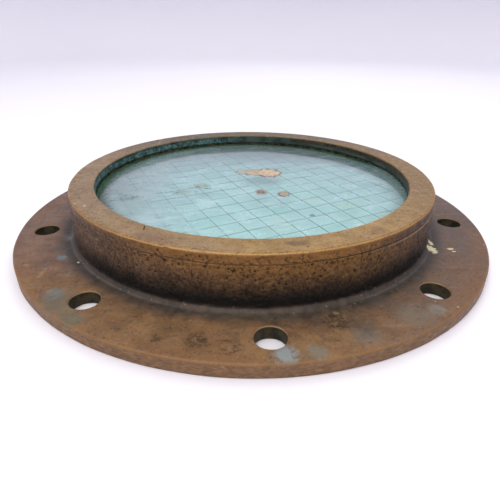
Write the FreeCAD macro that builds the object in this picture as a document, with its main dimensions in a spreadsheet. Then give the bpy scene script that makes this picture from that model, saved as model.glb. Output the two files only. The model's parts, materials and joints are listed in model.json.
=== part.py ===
"""Opening porthole: a flanged bronze frame with a glazed ring that screws out of its neck.

The part stands flange down. Z = 0 is the underside of the flange, +Z runs up the neck, and Z is the axis
of every round piece. One bolt hole lies on the -Y side.
"""
import FreeCAD, Part
import math
import os

import Sketcher

doc = FreeCAD.newDocument("opening_porthole")

# ---------------------------------------------------------------- driving dimensions, mm and degrees
SIZES = {
    # frame casting
    "flange_radius": 152.4,
    "flange_thickness": 7.6,
    "neck_radius": 117.4,
    "base_fillet": 4.0,
    "flange_edge_round": 1.0,
    "flange_foot_round": 0.6,
    "neck_edge_round": 0.4,
    "sill_radius": 102.0,
    "sill_height": 14.0,
    "sill_edge_round": 1.5,
    "bolt_circle_radius": 135.7,
    "bolt_hole_radius": 7.5,
    "bolt_count": 9,
    "bolt_hole_chamfer": 0.5,
    # screw thread between the neck and the glass ring
    "thread_radius": 111.8,
    "thread_gap": 0.3,
    "thread_pitch": 3.175,
    "thread_depth": 1.1,
    "thread_half_width": 1.25,
    "thread_overrun": 0.4,
    "neck_thread_count": 5,
    "neck_thread_start": 17.1,
    "ring_thread_count": 3,
    "ring_thread_start": 24.2,
    # glass ring
    "overall_height": 38.0,
    "ring_flange_thickness": 5.4,
    "ring_radius": 116.9,
    "ring_edge_chamfer": 0.9,
    "ring_inner_chamfer": 0.6,
    "clear_radius": 101.8,
    "lip_thickness": 6.4,
    "skirt_inner_radius": 106.5,
    # saw cut across the lip of the ring, parallel to Y on the -X, -Y side
    "nick_offset": 57.9,
    "nick_half_width": 0.35,
    "nick_start": 82.0,
    "nick_end": 89.9,
    "nick_depth": 1.3,
    # joint washer
    "washer_thickness": 0.6,
    "washer_radius": 116.8,
    "washer_inner_radius": 112.1,
    # glazing, from the lip down
    "putty_thickness": 1.2,
    "putty_inner_radius": 103.0,
    "glass_radius": 105.4,
    "glass_thickness": 6.5,
    "glass_edge_chamfer": 0.4,
    "packing_gap": 0.1,
    "gasket_thickness": 2.0,
    "gasket_inner_radius": 102.4,
    "glazing_ring_radius": 111.2,
    "glazing_ring_thickness": 3.2,
    "glazing_ring_round": 0.5,
    # glazing screws
    "screw_count": 12,
    "screw_circle_radius": 109.0,
    "screw_radius": 1.5,
    "screw_length": 9.0,
    "screw_head_radius": 2.9,
    "screw_slot_width": 0.8,
    "screw_slot_depth": 0.9,
    "screw_hole_gap": 0.1,
    "screw_hole_depth": 7.0,
    # wire netting in the pane
    "mesh_pitch": 12.7,
    "mesh_turn": 23.5,
    "mesh_shift_lower": 1.3,
    "mesh_shift_upper": 9.2,
    "wire_radius": 0.25,
    "wire_layer_gap": 0.02,
    "wire_edge_gap": 0.6,
    "mesh_edge_gap": 2.0,
}

sheet = doc.addObject("Spreadsheet::Sheet", "Sizes")
for row, (alias, number) in enumerate(SIZES.items(), start=1):
    sheet.set(f"A{row}", alias)
    sheet.set(f"B{row}", str(number))
    sheet.setAlias(f"B{row}", alias)
doc.recompute()


# ---------------------------------------------------------------- sizes as numbers with their expressions
class Length:
    """A sum of sheet sizes, kept both as a number and as the expression that drives it."""

    def __init__(self, *terms):
        self.number = 0.0
        words = []
        for term in terms:
            name = term.lstrip("-")
            taken_away = term.startswith("-")
            self.number += -SIZES[name] if taken_away else SIZES[name]
            words.append(("-" if taken_away else "+" if words else "") + "Sizes." + name)
        self.expression = " ".join(words)


ZERO = Length()
FLANGE_TOP = Length("flange_thickness")
RING_TOP = Length("overall_height")
RING_SEAT = Length("overall_height", "-ring_flange_thickness")
NECK_TOP = Length("overall_height", "-ring_flange_thickness", "-washer_thickness")
LIP_FOOT = Length("overall_height", "-lip_thickness")
GLASS_TOP = Length("overall_height", "-lip_thickness", "-putty_thickness")
GLASS_FOOT = Length("overall_height", "-lip_thickness", "-putty_thickness", "-glass_thickness")
SKIRT_FOOT = Length("overall_height", "-lip_thickness", "-putty_thickness", "-glass_thickness",
                    "-gasket_thickness")
GLAZING_FOOT = Length("overall_height", "-lip_thickness", "-putty_thickness", "-glass_thickness",
                      "-gasket_thickness", "-glazing_ring_thickness")
SKIRT_RADIUS = Length("thread_radius", "-thread_gap")
PACKING_RADIUS = Length("skirt_inner_radius", "-packing_gap")


# ---------------------------------------------------------------- building blocks
def new_body(label):
    """An empty PartDesign body whose label names its file."""
    body = doc.addObject("PartDesign::Body", label)
    body.Label = label
    return body


def origin_plane(body, role):
    """One of the body's own origin planes or axes, found by its role."""
    return [feature for feature in body.Origin.OriginFeatures if feature.Role == role][0]


def closed_outline(body, name, corners, plane="XZ_Plane"):
    """A sketch of straight lines; each corner is a pair of Lengths, a radius and a height in the XZ plane."""
    sketch = body.newObject("Sketcher::SketchObject", name)
    sketch.AttachmentSupport = [(origin_plane(body, plane), "")]
    sketch.MapMode = "FlatFace"
    points = [FreeCAD.Vector(across.number, along.number, 0) for across, along in corners]
    count = len(points)
    for index in range(count):
        sketch.addGeometry(Part.LineSegment(points[index], points[(index + 1) % count]), False)
    for index in range(count):
        sketch.addConstraint(Sketcher.Constraint("Coincident", index, 2, (index + 1) % count, 1))
    for index, (across, along) in enumerate(corners):
        bind_distance(sketch, "DistanceX", index, across, f"corner_{index}_across")
        if along.expression:
            bind_distance(sketch, "DistanceY", index, along, f"corner_{index}_along")
        else:
            sketch.addConstraint(Sketcher.Constraint("PointOnObject", index, 1, -1))
    return sketch


def bind_distance(sketch, kind, index, length, name):
    """Hold the start of one line at a distance from the sketch's origin, bound to the sheet."""
    number = sketch.addConstraint(Sketcher.Constraint(kind, -1, 1, index, 1, length.number))
    sketch.renameConstraint(number, name)
    sketch.setExpression(f"Constraints.{name}", length.expression)


def circle_sketch(body, name, radius, distance=None, level=None):
    """A level circle at Z = 0 or at a level, on the axis or a distance away from it towards -Y."""
    sketch = body.newObject("Sketcher::SketchObject", name)
    sketch.AttachmentSupport = [(origin_plane(body, "XY_Plane"), "")]
    sketch.MapMode = "FlatFace"
    if level:
        sketch.setExpression(".AttachmentOffset.Base.z", level.expression)
    centre = FreeCAD.Vector(0, -distance.number if distance else 0, 0)
    sketch.addGeometry(Part.Circle(centre, FreeCAD.Vector(0, 0, 1), radius.number), False)
    bound = sketch.addConstraint(Sketcher.Constraint("Radius", 0, radius.number))
    sketch.renameConstraint(bound, "circle_radius")
    sketch.setExpression("Constraints.circle_radius", radius.expression)
    if distance:
        sketch.addConstraint(Sketcher.Constraint("PointOnObject", 0, 3, -2))
        bound = sketch.addConstraint(Sketcher.Constraint("DistanceY", 0, 3, -1, 1, distance.number))
        sketch.renameConstraint(bound, "centre_distance")
        sketch.setExpression("Constraints.centre_distance", distance.expression)
    else:
        sketch.addConstraint(Sketcher.Constraint("Coincident", 0, 3, -1, 1))
    return sketch


def revolve(body, name, corners):
    """A full turn of a straight-sided outline about Z."""
    sketch = closed_outline(body, name + "_outline", corners)
    feature = body.newObject("PartDesign::Revolution", name)
    feature.Profile = sketch
    feature.ReferenceAxis = (sketch, ["V_Axis"])
    feature.Angle = 360.0
    doc.recompute()
    return feature


def volume_drop(body, before, what):
    """Stop if a cut took nothing away."""
    doc.recompute()
    taken = before - body.Shape.Volume
    if taken < 0.1:
        raise RuntimeError(f"{body.Label}: {what} cuts nothing")
    return body.Shape.Volume


def thread_grooves(body, radius, side, start, count):
    """Evenly spaced V grooves round a cylinder; side is +1 to cut outwards and -1 to cut inwards."""
    before = body.Shape.Volume
    sign = "" if side > 0 else "-"
    back = "-" if side > 0 else ""
    open_side = Length(*radius, back + "thread_overrun")
    bottom = Length(*radius, sign + "thread_depth")
    corners = [
        (open_side, Length(start, "-thread_half_width")),
        (bottom, Length(start)),
        (open_side, Length(start, "thread_half_width")),
    ]
    sketch = closed_outline(body, "thread_outline", corners)
    groove = body.newObject("PartDesign::Groove", "thread_groove")
    groove.Profile = sketch
    groove.ReferenceAxis = (sketch, ["V_Axis"])
    groove.Angle = 360.0
    before = volume_drop(body, before, "the thread groove")
    pattern = body.newObject("PartDesign::LinearPattern", "thread_turns")
    pattern.Originals = [groove]
    pattern.Direction = (origin_plane(body, "Z_Axis"), [""])
    pattern.Mode = "Spacing"
    pattern.setExpression("Offset", "Sizes.thread_pitch")
    pattern.setExpression("Occurrences", f"Sizes.{count}")
    body.Tip = pattern
    volume_drop(body, before, "the row of thread grooves")


def ring_of_copies(body, cut, name, count):
    """Repeat a cut evenly round Z."""
    before = body.Shape.Volume
    pattern = body.newObject("PartDesign::PolarPattern", name)
    pattern.Originals = [cut]
    pattern.Axis = (origin_plane(body, "Z_Axis"), [""])
    pattern.Angle = 360.0
    pattern.setExpression("Occurrences", f"Sizes.{count}")
    body.Tip = pattern
    return volume_drop(body, before, name)


def circular_edges(shape, radius, height, off_axis=False):
    """Names of the round edges of one radius at one height, centred on Z or, if off_axis, away from it."""
    names = []
    for number, edge in enumerate(shape.Edges, start=1):
        curve = edge.Curve
        if not isinstance(curve, Part.Circle):
            continue
        centred = math.hypot(curve.Center.x, curve.Center.y) < 1e-3
        same_size = abs(curve.Radius - radius.number) < 1e-3
        same_height = abs(curve.Center.z - height.number) < 1e-3
        if same_size and same_height and centred != off_axis:
            names.append(f"Edge{number}")
    return names


def dress(body, kind, name, size, places, off_axis=False):
    """Fillet or chamfer the round edges at the given (radius, height) places, bound to one size."""
    doc.recompute()
    base = body.Tip
    edges = []
    for radius, height in places:
        edges += circular_edges(base.Shape, radius, height, off_axis)
    if not edges:
        raise RuntimeError(f"{body.Label}: no edges for {name}")
    feature = body.newObject("PartDesign::" + kind, name)
    feature.Base = (base, edges)
    feature.setExpression("Radius" if kind == "Fillet" else "Size", f"Sizes.{size}")
    doc.recompute()
    return feature


# ---------------------------------------------------------------- frame casting: flange, neck and sill
def make_frame_casting():
    body = new_body("frame_casting")
    revolve(body, "casting", [
        (Length("sill_radius"), ZERO),
        (Length("flange_radius"), ZERO),
        (Length("flange_radius"), FLANGE_TOP),
        (Length("neck_radius"), FLANGE_TOP),
        (Length("neck_radius"), NECK_TOP),
        (Length("thread_radius"), NECK_TOP),
        (Length("thread_radius"), Length("sill_height")),
        (Length("sill_radius"), Length("sill_height")),
    ])
    dress(body, "Fillet", "base_fillet_round", "base_fillet", [(Length("neck_radius"), FLANGE_TOP)])
    dress(body, "Fillet", "flange_edge", "flange_edge_round", [(Length("flange_radius"), FLANGE_TOP)])
    dress(body, "Fillet", "flange_foot", "flange_foot_round", [(Length("flange_radius"), ZERO)])
    dress(body, "Fillet", "neck_edge", "neck_edge_round",
          [(Length("neck_radius"), NECK_TOP), (Length("thread_radius"), NECK_TOP)])
    dress(body, "Fillet", "sill_edge", "sill_edge_round",
          [(Length("sill_radius"), Length("sill_height")), (Length("sill_radius"), ZERO)])

    before = body.Shape.Volume
    circle = circle_sketch(body, "bolt_hole_circle", Length("bolt_hole_radius"), Length("bolt_circle_radius"))
    hole = body.newObject("PartDesign::Pocket", "bolt_hole")
    hole.Profile = circle
    hole.Reversed = True
    hole.setExpression("Length", "Sizes.flange_thickness + Sizes.bolt_hole_radius")
    volume_drop(body, before, "the bolt hole")
    ring_of_copies(body, hole, "bolt_holes", "bolt_count")
    dress(body, "Chamfer", "bolt_hole_edges", "bolt_hole_chamfer",
          [(Length("bolt_hole_radius"), FLANGE_TOP), (Length("bolt_hole_radius"), ZERO)], off_axis=True)
    thread_grooves(body, ["thread_radius"], 1, "neck_thread_start", "neck_thread_count")
    return body


# ---------------------------------------------------------------- glass ring: face, lip and threaded skirt
def make_glass_ring():
    body = new_body("glass_ring")
    revolve(body, "ring", [
        (Length("clear_radius"), LIP_FOOT),
        (Length("skirt_inner_radius"), LIP_FOOT),
        (Length("skirt_inner_radius"), SKIRT_FOOT),
        (SKIRT_RADIUS, SKIRT_FOOT),
        (SKIRT_RADIUS, RING_SEAT),
        (Length("ring_radius"), RING_SEAT),
        (Length("ring_radius"), RING_TOP),
        (Length("clear_radius"), RING_TOP),
    ])
    dress(body, "Chamfer", "ring_edge", "ring_edge_chamfer", [(Length("ring_radius"), RING_TOP)])
    dress(body, "Chamfer", "ring_inner_edge", "ring_inner_chamfer", [(Length("clear_radius"), RING_TOP)])

    before = body.Shape.Volume
    circle = circle_sketch(body, "screw_hole_circle", Length("screw_radius", "screw_hole_gap"),
                           Length("screw_circle_radius"), SKIRT_FOOT)
    hole = body.newObject("PartDesign::Pocket", "screw_hole")
    hole.Profile = circle
    hole.Reversed = True
    hole.setExpression("Length", "Sizes.screw_hole_depth")
    volume_drop(body, before, "the screw hole")
    before = ring_of_copies(body, hole, "screw_holes", "screw_count")

    left_side = Length("-nick_offset", "-nick_half_width")
    right_side = Length("-nick_offset", "nick_half_width")
    outline = closed_outline(body, "nick_outline", [
        (left_side, Length("-nick_end")),
        (right_side, Length("-nick_end")),
        (right_side, Length("-nick_start")),
        (left_side, Length("-nick_start")),
    ], "XY_Plane")
    outline.setExpression(".AttachmentOffset.Base.z", RING_TOP.expression)
    nick = body.newObject("PartDesign::Pocket", "nick")
    nick.Profile = outline
    nick.setExpression("Length", "Sizes.nick_depth")
    volume_drop(body, before, "the nick in the lip")
    thread_grooves(body, ["thread_radius", "-thread_gap"], -1, "ring_thread_start", "ring_thread_count")
    return body


# ---------------------------------------------------------------- plain rings and the pane
def make_plain_ring(label, inner, outer, foot, top):
    """A square-edged ring between two radii and two heights."""
    body = new_body(label)
    revolve(body, label + "_section", [(inner, foot), (outer, foot), (outer, top), (inner, top)])
    return body


def make_window_glass():
    body = new_body("window_glass")
    circle = circle_sketch(body, "pane_circle", Length("glass_radius"), level=GLASS_FOOT)
    pane = body.newObject("PartDesign::Pad", "pane")
    pane.Profile = circle
    pane.setExpression("Length", "Sizes.glass_thickness")
    dress(body, "Chamfer", "pane_edges", "glass_edge_chamfer",
          [(Length("glass_radius"), GLASS_FOOT), (Length("glass_radius"), GLASS_TOP)])
    return body


# ---------------------------------------------------------------- glazing ring and its screws
def make_glazing_ring():
    body = make_plain_ring("glazing_ring", Length("clear_radius"), Length("glazing_ring_radius"),
                           GLAZING_FOOT, SKIRT_FOOT)
    dress(body, "Fillet", "glazing_ring_edges", "glazing_ring_round",
          [(Length("clear_radius"), GLAZING_FOOT), (Length("glazing_ring_radius"), GLAZING_FOOT)])
    before = body.Shape.Volume
    sketch = circle_sketch(body, "countersink_circle", Length("screw_head_radius"),
                           Length("screw_circle_radius"), GLAZING_FOOT)
    doc.recompute()
    hole = body.newObject("PartDesign::Hole", "screw_countersink")
    hole.Profile = sketch
    doc.recompute()
    hole.Reversed = True
    hole.DepthType = "ThroughAll"
    hole.ThreadType = "None"
    hole.setExpression("Diameter", "2 * (Sizes.screw_radius + Sizes.screw_hole_gap)")
    hole.HoleCutType = "Countersink"
    hole.HoleCutCustomValues = True
    hole.setExpression("HoleCutDiameter", "2 * (Sizes.screw_head_radius + Sizes.screw_hole_gap)")
    hole.HoleCutCountersinkAngle = 90.0
    volume_drop(body, before, "the countersunk hole")
    ring_of_copies(body, hole, "screw_countersinks", "screw_count")
    return body


def make_glazing_screws():
    """Slotted countersunk screws, heads down, as one group of separate solids."""
    foot = GLAZING_FOOT.number
    radius = SIZES["screw_radius"]
    head_radius = SIZES["screw_head_radius"]
    cone_height = head_radius - radius
    axis_point = FreeCAD.Vector(0, -SIZES["screw_circle_radius"], foot)
    head = Part.makeCone(head_radius, radius, cone_height, axis_point)
    shank = Part.makeCylinder(radius, SIZES["screw_length"], axis_point)
    slot_width = SIZES["screw_slot_width"]
    slot_corner = axis_point + FreeCAD.Vector(-head_radius, -slot_width / 2, 0)
    slot = Part.makeBox(2 * head_radius, slot_width, SIZES["screw_slot_depth"], slot_corner)
    screw = head.fuse(shank).removeSplitter().cut(slot)
    screws = []
    step = 360.0 / SIZES["screw_count"]
    for number in range(SIZES["screw_count"]):
        one = screw.copy()
        # each slot is left at its own angle, as a hand leaves it
        one.rotate(axis_point, FreeCAD.Vector(0, 0, 1), number * 47.0 % 180.0)
        one.rotate(FreeCAD.Vector(0, 0, 0), FreeCAD.Vector(0, 0, 1), number * step)
        screws.append(one)
    group = doc.addObject("Part::Feature", "glazing_screws")
    group.Label = "glazing_screws"
    group.Shape = Part.makeCompound(screws)
    group.Placement = FreeCAD.Placement()
    return group


# ---------------------------------------------------------------- wire netting inside the pane
def make_wire_netting():
    """Two crossed layers of straight wires at the middle of the pane, each wire cut short of its edge."""
    radius = SIZES["wire_radius"]
    reach = SIZES["glass_radius"] - SIZES["wire_edge_gap"]
    middle = (GLASS_TOP.number + GLASS_FOOT.number) / 2
    layer_offset = radius + SIZES["wire_layer_gap"] / 2
    rows = int(reach // SIZES["mesh_pitch"]) + 1
    layers = (
        (SIZES["mesh_turn"], middle - layer_offset, SIZES["mesh_shift_lower"]),
        (SIZES["mesh_turn"] + 90.0, middle + layer_offset, SIZES["mesh_shift_upper"]),
    )
    wires = []
    for turn, level, shift in layers:
        for row in range(-rows, rows + 1):
            offset = row * SIZES["mesh_pitch"] + shift
            if abs(offset) > reach - SIZES["mesh_edge_gap"]:
                continue
            half = math.sqrt(reach ** 2 - offset ** 2)
            wire = Part.makeCylinder(radius, 2 * half, FreeCAD.Vector(-half, offset, level),
                                     FreeCAD.Vector(1, 0, 0))
            wire.rotate(FreeCAD.Vector(0, 0, 0), FreeCAD.Vector(0, 0, 1), turn)
            wires.append(wire)
    netting = doc.addObject("Part::Feature", "wire_netting")
    netting.Label = "wire_netting"
    netting.Shape = Part.makeCompound(wires)
    netting.Placement = FreeCAD.Placement()
    return netting


# ---------------------------------------------------------------- the assembly
pieces = [
    make_frame_casting(),
    make_glass_ring(),
    make_plain_ring("joint_washer", Length("washer_inner_radius"), Length("washer_radius"),
                    NECK_TOP, RING_SEAT),
    make_plain_ring("bedding_putty", Length("putty_inner_radius"), PACKING_RADIUS, GLASS_TOP, LIP_FOOT),
    make_window_glass(),
    make_wire_netting(),
    make_plain_ring("edge_packing", Length("glass_radius"), PACKING_RADIUS, GLASS_FOOT, GLASS_TOP),
    make_plain_ring("glass_gasket", Length("gasket_inner_radius"), PACKING_RADIUS, SKIRT_FOOT, GLASS_FOOT),
    make_glazing_ring(),
    make_glazing_screws(),
]
doc.recompute()

# ---------------------------------------------------------------- checks, then one STEP file a piece
for thing in doc.Objects:
    if "Invalid" in thing.State or "Error" in thing.State:
        raise RuntimeError(f"{thing.Label} failed: {thing.State}")
for piece in pieces:
    if piece.Shape.isNull() or not piece.Shape.isValid():
        raise RuntimeError(f"{piece.Label} has no valid shape")

os.makedirs("parts", exist_ok=True)
for piece in pieces:
    piece.Shape.exportStep(f"parts/{piece.Label}.step")
    box = piece.Shape.BoundBox
    print(f"{piece.Label}: {len(piece.Shape.Solids)} solids, {piece.Shape.Volume / 1000:.1f} cm3, "
          f"z {box.ZMin:.2f} to {box.ZMax:.2f}, {box.XLength:.1f} x {box.YLength:.1f}")
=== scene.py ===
import json
import math

import bmesh
import bpy
import numpy as np
from mathutils import Matrix, Vector


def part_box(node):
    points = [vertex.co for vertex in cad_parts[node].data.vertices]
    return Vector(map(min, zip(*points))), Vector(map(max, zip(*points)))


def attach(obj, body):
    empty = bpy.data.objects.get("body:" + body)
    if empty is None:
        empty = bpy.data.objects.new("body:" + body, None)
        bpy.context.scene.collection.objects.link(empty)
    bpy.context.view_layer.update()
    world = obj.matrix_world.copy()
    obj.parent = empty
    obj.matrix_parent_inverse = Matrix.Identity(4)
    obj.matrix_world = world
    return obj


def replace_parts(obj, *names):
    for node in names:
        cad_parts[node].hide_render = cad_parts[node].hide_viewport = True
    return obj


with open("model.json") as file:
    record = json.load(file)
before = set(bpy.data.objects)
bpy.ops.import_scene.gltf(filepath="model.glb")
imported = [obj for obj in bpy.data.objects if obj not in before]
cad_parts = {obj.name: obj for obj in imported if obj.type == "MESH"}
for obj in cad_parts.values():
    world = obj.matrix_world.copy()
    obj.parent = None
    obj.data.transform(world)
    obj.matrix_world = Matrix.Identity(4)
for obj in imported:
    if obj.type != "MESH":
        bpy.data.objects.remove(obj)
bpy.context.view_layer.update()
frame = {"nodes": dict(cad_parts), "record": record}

# A cast bronze port light with a screw-out ring of wired glass. Everything is in metres in the part's own
# frame: Z is the axis of the neck, Z = 0 the underside of the flange, and one bolt hole lies on -Y.

MM = 0.001
TURN = 2 * math.pi
NEAR = 0.01 * MM
SHARP_ANGLE = math.radians(38)

# ------------------------------------------------------------------ sizes read from the frame
mounts = {mount["name"]: mount for mount in frame["record"]["mounts"]}
FLANGE_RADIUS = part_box("frame_casting")[1].x
NECK_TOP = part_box("frame_casting")[1].z
FLANGE_TOP = mounts["flange_seat"]["pos_m"][2]
NECK_RADIUS = mounts["neck"]["dims"]["r_mm"] * MM
BOLT_CIRCLE = mounts["flange_bolts"]["dims"]["pcd_mm"] * MM / 2
BOLT_HOLE = mounts["flange_bolts"]["dims"]["hole_r_mm"] * MM
BOLT_COUNT = mounts["flange_bolts"]["dims"]["count"]
RING_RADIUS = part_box("glass_ring")[1].x
RING_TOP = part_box("glass_ring")[1].z
RING_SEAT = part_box("joint_washer")[1].z
SKIRT_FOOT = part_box("glass_ring")[0].z
LIP_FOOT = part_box("bedding_putty")[1].z
GLASS_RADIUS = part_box("window_glass")[1].x
GLASS_FOOT, GLASS_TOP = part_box("window_glass")[0].z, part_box("window_glass")[1].z
PACKING_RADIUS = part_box("edge_packing")[1].x
NETTING_MIDDLE = (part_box("wire_netting")[0].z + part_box("wire_netting")[1].z) / 2

# sizes that the frame doesn't state, as in the CAD
SILL_RADIUS = 102.0 * MM
SILL_HEIGHT = 14.0 * MM
SILL_ROUND = 1.5 * MM
BASE_FILLET = 4.0 * MM
FLANGE_EDGE = 1.0 * MM
FLANGE_FOOT = 0.6 * MM
NECK_EDGE = 0.4 * MM
HOLE_CHAMFER = 0.5 * MM
THREAD_RADIUS = 111.8 * MM
SKIRT_RADIUS = 111.5 * MM
SKIRT_INNER = 106.5 * MM
THREAD_PITCH = 3.175 * MM
THREAD_DEPTH = 1.1 * MM
NECK_THREAD = (17.1 * MM, 5)        # height of the first groove, and how many there are
RING_THREAD = (24.2 * MM, 3)
CLEAR_RADIUS = 101.8 * MM
RING_CHAMFER = 0.9 * MM
RING_INNER_CHAMFER = 0.6 * MM
PUTTY_INNER = 103.0 * MM
MESH_PITCH = 12.7 * MM
MESH_TURN = 23.5                    # degrees from +X to the first layer's wires
MESH_SHIFTS = (1.3 * MM, 9.2 * MM)  # how far the middle wire of each layer is off the axis
WIRE_RADIUS = 0.25 * MM
NICK_OFFSET = 57.9 * MM             # how far to -X its middle line is
NICK_HALF = 0.35 * MM
NICK_END = 89.9 * MM                # how far to -Y it reaches
NICK_DEPTH = 1.3 * MM
FILLET_END = NECK_RADIUS + BASE_FILLET


# ------------------------------------------------------------------ outlines and lathed meshes
def run(start, end, step):
    """Evenly spaced points from start up to, but not including, end."""
    start, end = np.array(start, float), np.array(end, float)
    count = max(1, math.ceil(np.linalg.norm(end - start) / step - 1e-6))
    return [tuple(start + (end - start) * k / count) for k in range(count)]


def path(stops, end):
    """Runs between stops and on to end; a stop is a radius, a height and the step in mm after it."""
    points = []
    for (radius, height, step), following in zip(stops, [*stops[1:], end]):
        points += run((radius, height), following[:2], step * MM)
    return points


def bend(centre, radius, first, last, count):
    """Points of an arc in degrees, both ends included."""
    turns = np.radians(np.linspace(first, last, count))
    return [(centre[0] + radius * math.cos(t), centre[1] + radius * math.sin(t)) for t in turns]


def threaded(radius, depth, foot, top, first, count, step):
    """A straight run up a cylinder from foot to top, with V grooves of a depth, negative to cut inwards."""
    half = 1.0 * MM
    corners = [(radius, foot)]
    for number in range(count):
        middle = first + number * THREAD_PITCH
        corners += [(radius, middle - half), (radius + depth, middle), (radius, middle + half)]
    corners.append((radius, top))
    points = []
    for start, end in zip(corners, corners[1:]):
        points += run(start, end, step)
    return points


def smooth_random(rng, shape, passes):
    """Random values on a grid that wraps round its second axis, blurred and scaled to a spread of 1."""
    values = rng.standard_normal(shape)
    for _ in range(passes):
        values = (values + np.roll(values, 1, 1) + np.roll(values, -1, 1)) / 3
        padded = np.pad(values, ((1, 1), (0, 0)), "edge")
        values = (padded[:-2] + padded[1:-1] + padded[2:]) / 3
    return values / values.std()


def lathe(outline, turns, shape):
    """A closed outline turned about Z and then reshaped, as an array [outline point, angle, xyz]."""
    outline = np.array(outline)
    radius = np.repeat(outline[:, :1], len(turns), 1)
    height = np.repeat(outline[:, 1:], len(turns), 1)
    turn = np.repeat(np.asarray(turns)[None, :], len(outline), 0)
    radius, turn, height = shape(radius, turn, height)
    return np.stack([radius * np.cos(turn), radius * np.sin(turn), height], -1)


def ring_faces(rows, columns, skip=None):
    """Quads between neighbouring rows of a closed lathe; skip marks the quads that are left out."""
    row, column = np.meshgrid(np.arange(rows), np.arange(columns), indexing="ij")
    beside, above = (column + 1) % columns, (row + 1) % rows
    quads = np.stack([row * columns + column, row * columns + beside,
                      above * columns + beside, above * columns + column], -1)
    keep = np.ones((rows, columns), bool) if skip is None else ~skip
    return quads[keep]


def closed_piece(name, points, faces, body, material):
    """A closed mesh piece that rides on a body, with no unused points and its faces all turned outwards."""
    data = bpy.data.meshes.new(name)
    data.from_pydata([tuple(p) for p in points], [], [tuple(int(i) for i in f) for f in faces])
    mesh = bmesh.new()
    mesh.from_mesh(data)
    bmesh.ops.delete(mesh, geom=[v for v in mesh.verts if not v.link_faces], context="VERTS")
    bmesh.ops.recalc_face_normals(mesh, faces=mesh.faces)
    mesh.to_mesh(data)
    mesh.free()
    data.materials.append(material)
    data.shade_smooth()
    data.set_sharp_from_angle(angle=SHARP_ANGLE)
    piece = bpy.data.objects.new(name, data)
    bpy.context.scene.collection.objects.link(piece)
    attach(piece, body)
    return piece


# ------------------------------------------------------------------ material helpers
def linear(value):
    """A channel of a colour in linear light, from its sRGB value of 0 to 255."""
    value /= 255
    return value / 12.92 if value <= 0.04045 else ((value + 0.055) / 1.055) ** 2.4


def around(degrees, radius, height):
    """A point at an angle round the axis, counted from +X towards +Y."""
    turn = math.radians(degrees)
    return (radius * math.cos(turn), radius * math.sin(turn), height)


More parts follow.
